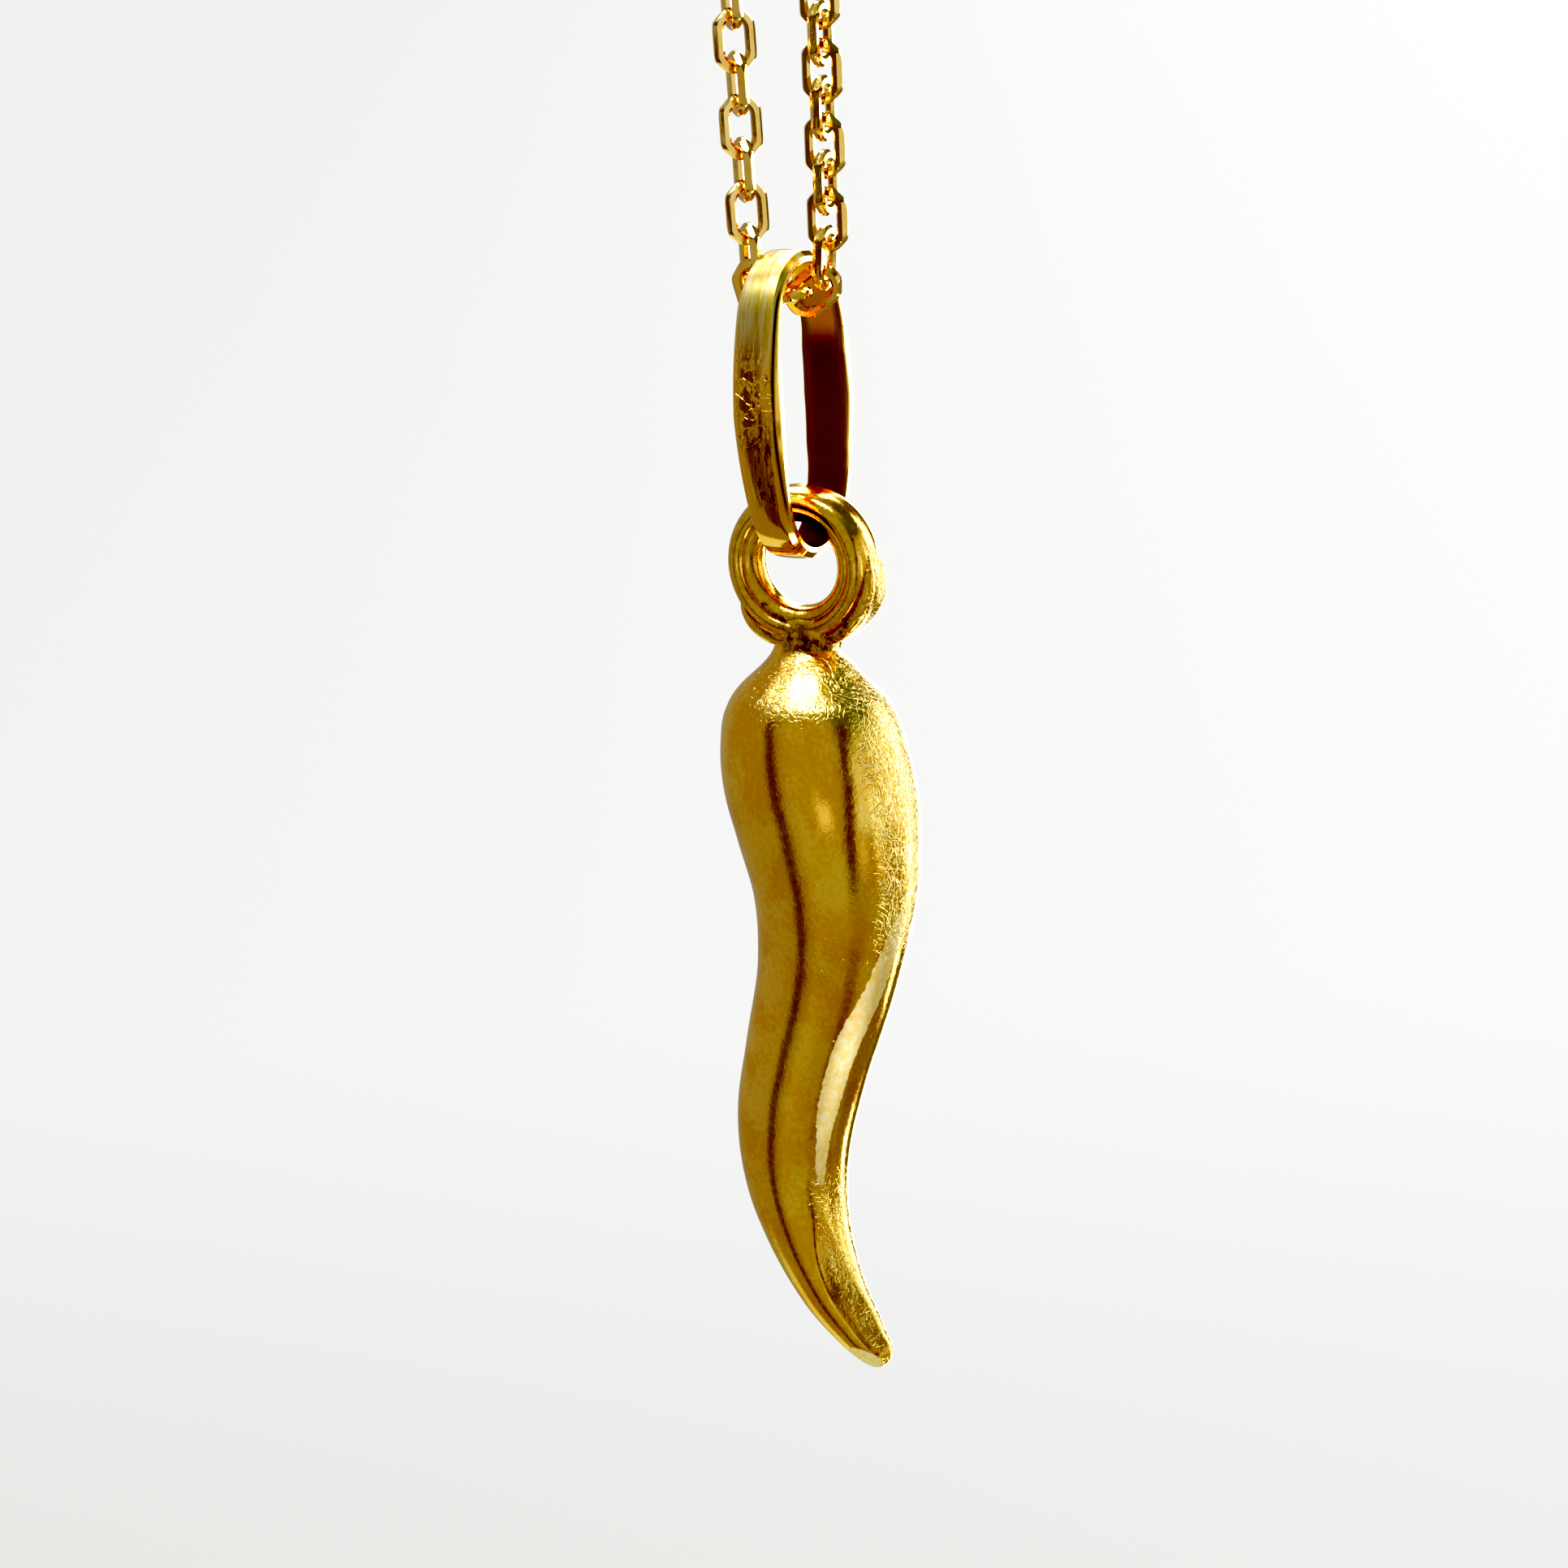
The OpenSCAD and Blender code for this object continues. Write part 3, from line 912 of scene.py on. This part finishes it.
def lineMask(across, down, start, end, width):
    start, end = np.array(start), np.array(end)
    way = end - start
    rise = np.c_[across, down] - start
    share = np.clip(rise @ way / (way @ way), 0, 1)
    gap = norm(rise - share[:, None] * way, axis=1)
    return bell(gap, 0, width)


# grime with painted shade in the front of the crevice where the ring meets the horn and in the soldered
# grooves, and a light darkening over the ring
def hornGrime(points):
    w = hornWear
    across, below = points[:, 0], ringZ - points[:, 2]
    crevice = bell(below, *w["crevice"]) * fadeBoth(across, *w["creviceAcross"])
    for start, end, width in ringShape["grooves"]:
        crevice = np.maximum(crevice, lineMask(across, below, start, end, width))
    crevice = np.clip(crevice * fadeIn(-points[:, 1], *w["creviceFront"]) * w["creviceDirt"], 0, 1)
    return np.maximum(crevice, w["ringDirt"] * fadeOut(below, *w["ringEnd"]))


def hornWorn(points):
    # scratched where it rubs: the shoulder, the right side, a streak in front, the tip and the right arm
    w = hornWear
    across, below = points[:, 0], ringZ - points[:, 2]
    down, turn = hornTurn(points)
    atBack, inFront = w["shoulderWear"]
    shoulder = fadeOut(down, *w["shoulderEnd"]) * (atBack + inFront * fadeIn(turn, *w["shoulderTurn"]))
    shoulder *= 1 - w["glintSmooth"] * bell(turn, *w["glintTurn"]) * bell(down, *w["glintDown"])
    right = fadeIn(turn, *w["rightTurn"]) * fadeOut(down, *w["rightEnd"])
    tip = fadeIn(down, *w["tipStart"]) * fadeIn(turn, *w["tipTurn"])
    streak = fadeOut(np.abs(turn - w["streakTurn"]), *w["streakWidth"])
    streak *= fadeBoth(down, *w["streakDown"])
    body = np.maximum.reduce([shoulder, right, tip * w["tipWear"], streak * w["streakWear"]])
    onNeck, onShoulder = w["neckWear"]
    body *= fadeIn(below, *w["bodyStart"]) * (onNeck + onShoulder * fadeIn(down, *w["neckEnd"]))
    top, low = w["strapDown"]
    strap = fadeIn(np.hypot(across, below), *w["strapEdge"])
    strap *= (across > w["strapLeft"]) * (below > top) * (below < low)
    return np.maximum(body, strap * w["strapWear"])


# filed facet at the tip, and a pale strip down the horn that is partly a painted highlight
def hornFiled(points):
    w = hornWear
    down, turn = hornTurn(points)
    rows = np.array(w["strip"], float)
    soft = w["stripSoft"]
    low = np.interp(down, rows[:, 0], rows[:, 1])
    high = np.interp(down, rows[:, 0], rows[:, 2])
    strip = fadeBoth(turn, low - soft, low + soft, high - soft, high + soft)
    strip *= fadeBoth(down, *w["stripDown"])
    _, over, near = tipFacetOf(points)
    return np.maximum(strip, fadeIn(over, *w["facetEdge"]) * near)


def makeHorn():
    s = ringShape
    mesh = joinSolids([
        hornBodyMesh(), ringBand(mirrored(s["outer"])), ringBand(s["inner"]), tongueMesh(),
        armMesh(s["rightArm"]), armMesh(s["leftArm"]),
    ])
    mesh.shade_smooth()
    mesh.set_sharp_from_angle(angle=radians(s["sharp"]))
    points = pointsOf(mesh)
    # masks: grime with painted shade, wear, and filing with a pale strip that is partly a painted highlight
    setMasks(mesh, grime=hornGrime(points), worn=hornWorn(points), filed=hornFiled(points))
    makePiece("horn_gold", mesh, hornFinish, "horn", "horn_gold", "horn")


makeHorn()
print("horn made")


# Bail: an oval loop of flat band, seen edge on from the side
bailShape = {
    "height": 7.55,
    "topRadius": 1.84,
    "bottomRadius": 1.74,
    "sideRadius": 8.6,
    "thick": 0.28,
    "legThicker": 0.1,  # the legs are thicker inwards than the arch
    "widthTop": 1.04,
    "widthMiddle": 1.27,
    "widthBottom": 1,
    "leftBevel": (0.07, 0.06),  # across the face, down the edge
    "rightBevel": (0.13, 0.12),
    "innerBevel": 0.03,
    "crown": 0.036,
    "stations": 320,
    "cornerSteps": 5,
    "legs": (0.02, 0.3, 0.5),  # middle of the thicker legs, and their fade, as shares of half the height
    "sharp": 28,
}
# Finish of the bail, with a painted dark reflection and painted shade, in millimetres, down from its top or
# across from its middle. Depth is into the band.
bailWear = {
    "brushedEnd": (1.2, 3.2),
    "stainDown": (3.2, 4.6, 5.9, 6.2),
    "stainAcross": (-0.3, -0.1, 0.34, 0.42),
    "archEnd": (1.9, 2.6),
    "crease": (0.5, 0.035),  # painted shade line beside the right bevel, middle and spread
    "creaseDown": (0.3, 1, 5.9, 6.6),
    "creaseDepth": 0.1,
    "sootStart": (6.3, 6.8),
    "dents": (3.3, 0.9),  # middle and spread
    "dentsAcross": 0.5,
    "innerEdge": (0.3, 0.44),
    "innerEdgeLoss": 0.9,
    "outerDepth": 0.2,
    "innerDepth": 0.25,
}


def bailLoop(inset):
    s = bailShape
    topY = s["height"] / 2 - s["topRadius"]
    lowY = s["bottomRadius"] - s["height"] / 2
    span = topY - lowY
    toTop = s["sideRadius"] - s["topRadius"]
    toLow = s["sideRadius"] - s["bottomRadius"]
    sideUp = (span ** 2 + toLow ** 2 - toTop ** 2) / (2 * span)
    sideX = sqrt(toLow ** 2 - sideUp ** 2)
    sideY = lowY + sideUp
    topTurn = atan2(topY - sideY, sideX)
    lowTurn = atan2(lowY - sideY, sideX)
    # half of the loop as arcs of centre, radius, start and end, and then its mirror
    arcs = [
        ((0, topY), s["topRadius"], pi / 2, topTurn),
        ((-sideX, sideY), s["sideRadius"], topTurn, lowTurn),
        ((0, lowY), s["bottomRadius"], lowTurn, -pi / 2),
    ]
    lengths = [abs(b - a) * r for _, r, a, b in arcs]
    total = sum(lengths)
    half = s["stations"] // 2
    path = []
    for i in range(half):
        run = total * i / half
        for ((x, y), r, a, b), length in zip(arcs, lengths):
            if run <= length:
                turn = a + (b - a) * run / length
                path.append((x + (r - inset) * cos(turn), y + (r - inset) * sin(turn)))
                break
            run -= length
    path.append((0, lowY - s["bottomRadius"] + inset))
    right = np.array(path)
    left = right[1:-1][::-1] * (-1, 1)
    return np.vstack([right, left])


def bailCorners(half, thick):
    s = bailShape
    leftX, leftD = s["leftBevel"]
    rightX, rightD = s["rightBevel"]
    b = s["innerBevel"]
    corners = [
        (-half, leftD), (-half + leftX, 0), (half - rightX, 0), (half, rightD),
        (half, thick - b), (half - b, thick), (-half + b, thick), (-half, thick - b),
    ]
    steps = s["cornerSteps"]
    section = []
    for (x0, d0), (x1, d1) in zip(corners, corners[1:] + corners[:1]):
        section += [(x0 + (x1 - x0) * k / steps, d0 + (d1 - d0) * k / steps) for k in range(steps)]
    return roundCorners(section, 1)


def bailMasks(mesh, depth):
    w = bailWear
    across, into, up = pointsOf(mesh).T
    down = archZ + bailShape["topRadius"] - up
    front = into < 0
    outside = front * (depth < w["outerDepth"])
    inside = depth > w["innerDepth"]
    # painted dark reflection down the middle of the front face
    stained = fadeBoth(down, *w["stainDown"]) * fadeBoth(across, *w["stainAcross"])
    # painted shade line beside the right bevel on the front
    crease = bell(across, *w["crease"]) * fadeBoth(down, *w["creaseDown"])
    crease *= front * (depth < w["creaseDepth"])
    setMasks(
        mesh,
        brushed=fadeOut(down, *w["brushedEnd"]) * outside,
        stained=stained * outside,
        nearArch=fadeOut(down, *w["archEnd"]),
        sooty=np.maximum(crease, fadeIn(down, *w["sootStart"]) * inside),
        dented=bell(down, *w["dents"]) * front * (np.abs(across) < w["dentsAcross"]),
        inner=inside * (1 - w["innerEdgeLoss"] * fadeIn(np.abs(across), *w["innerEdge"])),
    )


def makeBail():
    s = bailShape
    outer, inner = bailLoop(0), bailLoop(s["thick"])
    middleZ = archZ + s["topRadius"] - s["height"] / 2
    up = outer[:, 1] / (s["height"] / 2)
    endWidth = np.where(up > 0, s["widthTop"], s["widthBottom"])
    half = (s["widthMiddle"] + (endWidth - s["widthMiddle"]) * np.abs(up)) / 2
    legMiddle, legFull, legEnd = s["legs"]
    thick = s["thick"] + s["legThicker"] * fadeOut(np.abs(up + legMiddle), legFull, legEnd)
    inward = (inner - outer) / norm(inner - outer, axis=1)[:, None]
    points = []
    for place, way, h, t in zip(outer, inward, half, thick):
        section = bailCorners(h, t)
        crown = s["crown"] * (1 - (section[:, 0] / h) ** 2) * (section[:, 1] < s["thick"] / 2)
        flat = place + way * (section[:, 1] - crown)[:, None]
        points.append(np.c_[section[:, 0], flat[:, 0], middleZ + flat[:, 1]])
    mesh = makeMesh("bail_band", *skinOver(points, loop=True), s["sharp"])
    bailMasks(mesh, np.tile(section[:, 1], len(outer)))
    makePiece("bail_band", mesh, bailFinish, "bail", "bail_gold", "bail")


makeBail()
print("bail made")


# Chain of diamond-cut links
archIn = archZ + bailShape["topRadius"] - bailShape["thick"]  # inside of the bail's arch
chainShape = {
    "linkLength": 1.62,
    "linkWidth": 1.1,
    "wire": 0.27,
    "singleLinks": 16,
    "topRadius": 5,
    # by side, -1 left and 1 right
    "pitch": {-1: 1.05, 1: 0.9},
    "turns": {-1: (-43, 47), 1: (0, 90)},
    "foot": {-1: (-0.99, -0.36), 1: (1.16, 0.62)},  # across, up from the inside of the arch
    # two links under the arch: across, up from the inside of the arch, lean, turn
    "arch": {
        -1: [(-0.16, -0.87, -102, -88), (-0.87, -0.7, -16, 14)],
        1: [(0.69, -0.68, 55, 14), (1.06, 0.14, 5.7, 90)],
    },
    # half the wire's section, outward and to the front: flat faces with cut edges
    "section": [(0.135, 0.055), (0.066, 0.126), (-0.066, 0.126), (-0.135, 0.055)],
    # direction and depth of the cuts over the corners and the sides
    "cuts": [((0.62, 0.42, 0.66), 0.042), ((0.8, 0.6, 0), 0.03)],
    "bendSteps": (12, 6),  # for the single links, and for the upper chain
    "sharp": 20,
}


def cutFlat(form, normal, depth):
    normal = Vector(normal).normalized()
    reach = max(v.co.dot(normal) for v in form.verts) - depth
    everything = form.verts[:] + form.edges[:] + form.faces[:]
    bmesh.ops.bisect_plane(
        form, geom=everything, dist=1e-6, plane_co=normal * reach, plane_no=normal, clear_outer=True)
    bmesh.ops.holes_fill(form, edges=[e for e in form.edges if e.is_boundary])


def linkMesh(bendSteps):
    s = chainShape
    bend = (s["linkWidth"] - s["wire"]) / 2
    straight = (s["linkLength"] - s["linkWidth"]) / 2
    path = []
    for turn, middle in ((0, straight), (1, -straight)):
        for k in range(bendSteps + 1):
            a = pi * k / bendSteps + turn * pi
            path.append((bend * cos(a), 0, middle + bend * sin(a)))
    half = s["section"]
    section = half + [(a, -b) for a, b in reversed(half)]
    points, faces = planarSweep(path, (0, 1, 0), section, closed=True)
    form = bmesh.new()
    corners = [form.verts.new(p) for p in points]
    for face in faces:
        form.faces.new([corners[i] for i in face])
    for (x, y, z), depth in s["cuts"]:
        for sx, sy, sz in product((-1, 1), (-1, 1), (-1, 1) if z else (1,)):
            cutFlat(form, (sx * x, sy * y, sz * z), depth)
    form.verts.index_update()
    cutPoints = np.array([v.co for v in form.verts])
    cutFaces = [tuple(v.index for v in f.verts) for f in form.faces]
    form.free()
    return cutPoints, cutFaces


def strandWhole(side):
    s = chainShape
    foot = np.array(s["foot"][side]) + (0, archIn)
    top = np.array((side * s["topRadius"], -(s["topRadius"] - s["linkWidth"] / 2)))
    length = norm(top - foot)
    return foot, (top - foot) / length, length


def strandAt(side, length):
    # across, height and lean at a distance up the straight strand
    foot, way, _ = strandWhole(side)
    place = foot + way * length
    return place[0], place[1], degrees(atan2(way[0], way[1]))


def placeLink(points, across, height, lean, turn=0):
    q = radians(turn)
    a = radians(lean)
    turned = points @ np.array([[cos(q), sin(q), 0], [-sin(q), cos(q), 0], [0, 0, 1]])
    leant = turned @ np.array([[cos(a), 0, -sin(a)], [0, 1, 0], [sin(a), 0, cos(a)]])
    return leant + (across, 0, height)


def linkUp(side, index):
    # how far up its strand a link's middle is, the third link's being half a pitch above the foot
    return chainShape["pitch"][side] * (index - 2.5)


def linkPlace(side, index):
    s = chainShape
    if index <= 2:
        across, up, lean, turn = s["arch"][side][index - 1]
        return across, archIn + up, lean, turn
    return *strandAt(side, linkUp(side, index)), s["turns"][side][(index + 1) % 2]


def makeSingleLinks():
    s = chainShape
    points, faces = linkMesh(s["bendSteps"][0])
    for side, word in ((-1, "left"), (1, "right")):
        for index in range(1, s["singleLinks"] + 1):
            name = f"link_{word}_{index}"
            placed = placeLink(points, *linkPlace(side, index))
            mesh = makeMesh(f"cut_{name}", placed, faces, s["sharp"])
            makePiece(f"cut_{name}", mesh, chainFinish, "chain", "chain_gold", name)


# Clasp and end ring at the top of the left strand
claspShape = {
    "ring": 2,  # radius to the middle of its tube
    "tube": 0.48,
    "collar": 0.5,
    "bolt": 0.33,
    "body": (150, 446),  # degrees from the back, upwards
    "open": (80, 156),
    "slot": (38, 74),
    "slotDepth": 0.16,
    "eye": 0.725,
    "eyeWire": 0.225,
    "eyeDown": 3.2,
    "endRing": 0.875,
    "endRingWire": 0.225,
    "endRingDown": 2.14,
    "claspDown": 4.09,
    "collarTurn": 9,  # degrees of each end collar
    "grooveTurn": 12,  # and of the collar with its groove
    "groove": 0.03,
    "slotFacing": 0.97,  # how squarely the slot faces out
    "knobTurn": 45,
    # radius and distance out: thumb knob, turned like a small button on a stem, then the eye's collar
    "knob": [
        (0.2, 2.25), (0.2, 2.82), (0.3, 2.88), (0.35, 2.96), (0.35, 3.1), (0.3, 3.18), (0.16, 3.22),
    ],
    "eyeCollar": [(0.24, 2.36), (0.3, 2.44), (0.3, 2.56), (0.24, 2.64)],
    "seam": (0.1, 0.05),  # depth and spread of the end ring's soldered seam
    "sharp": 40,
}


def arcPath(radius, start, end, steps, up=0):
    turn = np.radians(np.linspace(start, end, steps))
    return np.c_[0 * turn, radius * np.cos(turn), up + radius * np.sin(turn)]


def turnedKnob(profile, turn):
    a = radians(turn)
    path = [(0, out * cos(a), out * sin(a)) for _, out in profile]
    return planarSweep(path, (1, 0, 0), [circleSection(r, 32) for r, _ in profile])


def joinShells(shells):
    points, faces = [], []
    for shellPoints, shellFaces in shells:
        start = sum(len(p) for p in points)
        points.append(np.asarray(shellPoints, float))
        faces += [tuple(start + i for i in face) for face in shellFaces]
    return np.vstack(points), faces


def claspBody():
    s = claspShape
    low, high = s["body"]
    steps = 150
    turn = np.linspace(low, high, steps)
    nearEnd = np.minimum(turn - low, high - turn)
    radius = np.where(nearEnd < s["collarTurn"], s["collar"], s["tube"])
    inGroove = (nearEnd > s["collarTurn"]) & (nearEnd < s["grooveTurn"])
    radius = np.where(inGroove, s["tube"] - s["groove"], radius)
    radius[[0, -1]] = s["bolt"]
    ring = circleSection(1, 40)
    sections = ring[None] * radius[:, None, None]
    slotLow, slotHigh = (v + 360 for v in s["slot"])
    inSlot = (turn > slotLow) & (turn < slotHigh)
    sections[np.ix_(inSlot, ring[:, 0] > s["slotFacing"])] *= 1 - s["slotDepth"] / s["tube"]
    return planarSweep(arcPath(s["ring"], low, high, steps), (1, 0, 0), sections)


def claspMesh():
    s = claspShape
    side = (1, 0, 0)
    bolt = arcPath(s["ring"], *s["open"], 30)
    eye = arcPath(s["eye"], 0, 355, 72, -s["eyeDown"])
    return joinShells([
        claspBody(),
        planarSweep(bolt, side, circleSection(s["bolt"], 32)),
        planarSweep(eye, side, circleSection(s["eyeWire"], 24), closed=True),
        turnedKnob(s["knob"], s["knobTurn"]),
        turnedKnob(s["eyeCollar"], -90),
    ])


def endRingMesh():
    s = claspShape
    turn = circleTurns(96)
    path = np.c_[s["endRing"] * np.cos(turn), 0 * turn, s["endRing"] * np.sin(turn)]
    depth, spread = s["seam"]
    seam = 1 - depth * bell(turn, pi, spread)
    sections = circleSection(s["endRingWire"], 28)[None] * seam[:, None, None]
    return planarSweep(path, (0, 1, 0), sections, closed=True)


def makeClasp():
    s = claspShape
    whole = strandWhole(-1)[2]
    for name, form, down, node in (
        ("spring_clasp", claspMesh(), s["claspDown"], "clasp"),
        ("round_end_ring", endRingMesh(), s["endRingDown"], "end_ring"),
    ):
        points, faces = form
        mesh = makeMesh(name, placeLink(points, *strandAt(-1, whole - down)), faces, s["sharp"])
        makePiece(name, mesh, claspFinish, "chain", "clasp_gold", node)


makeSingleLinks()
makeClasp()
print("single links and clasp made")


# The long upper stretch of chain, as rows of the same link
upperSet = {"eyeHang": 1.02, "endRingHang": -1.17}


def overTop(length):
    # up the right strand, round the turn at the top and down the left strand
    radius = chainShape["topRadius"]
    whole = strandWhole(1)[2]
    if length <= whole:
        return strandAt(1, length)
    bend = pi * radius
    if length <= whole + bend:
        a = (length - whole) / radius
        topHeight = strandAt(1, whole)[1]
        return radius * cos(a), topHeight + radius * sin(a), -degrees(a)
    across, height, lean = strandAt(-1, strandWhole(-1)[2] - (length - whole - bend))
    return across, height, lean + 180


def makeUpperChain():
    s = chainShape
    points, faces = linkMesh(s["bendSteps"][1])
    last = s["singleLinks"]
    leftEnd = strandWhole(-1)[2] - claspShape["claspDown"] - claspShape["eyeDown"] - upperSet["eyeHang"]
    pastTop = strandWhole(1)[2] + pi * s["topRadius"]
    rightEnd = pastTop + claspShape["endRingDown"] + upperSet["endRingHang"]
    for side, word, end, placeAt in (
        (-1, "left", leftEnd, lambda length: strandAt(-1, length)), (1, "right", rightEnd, overTop),
    ):
        start = linkUp(side, last)
        count = round((end - start) / s["pitch"][side])
        shells = []
        for i in range(1, count + 1):
            turn = s["turns"][side][(last + i + 1) % 2]
            shells.append((placeLink(points, *placeAt(start + (end - start) * i / count), turn), faces))
        mesh = makeMesh(f"upper_chain_{word}", *joinShells(shells), s["sharp"])
        makePiece(f"upper_chain_{word}", mesh, chainFinish, "chain", "chain_gold", f"chain_{word}")


makeUpperChain()
print("upper chain made")
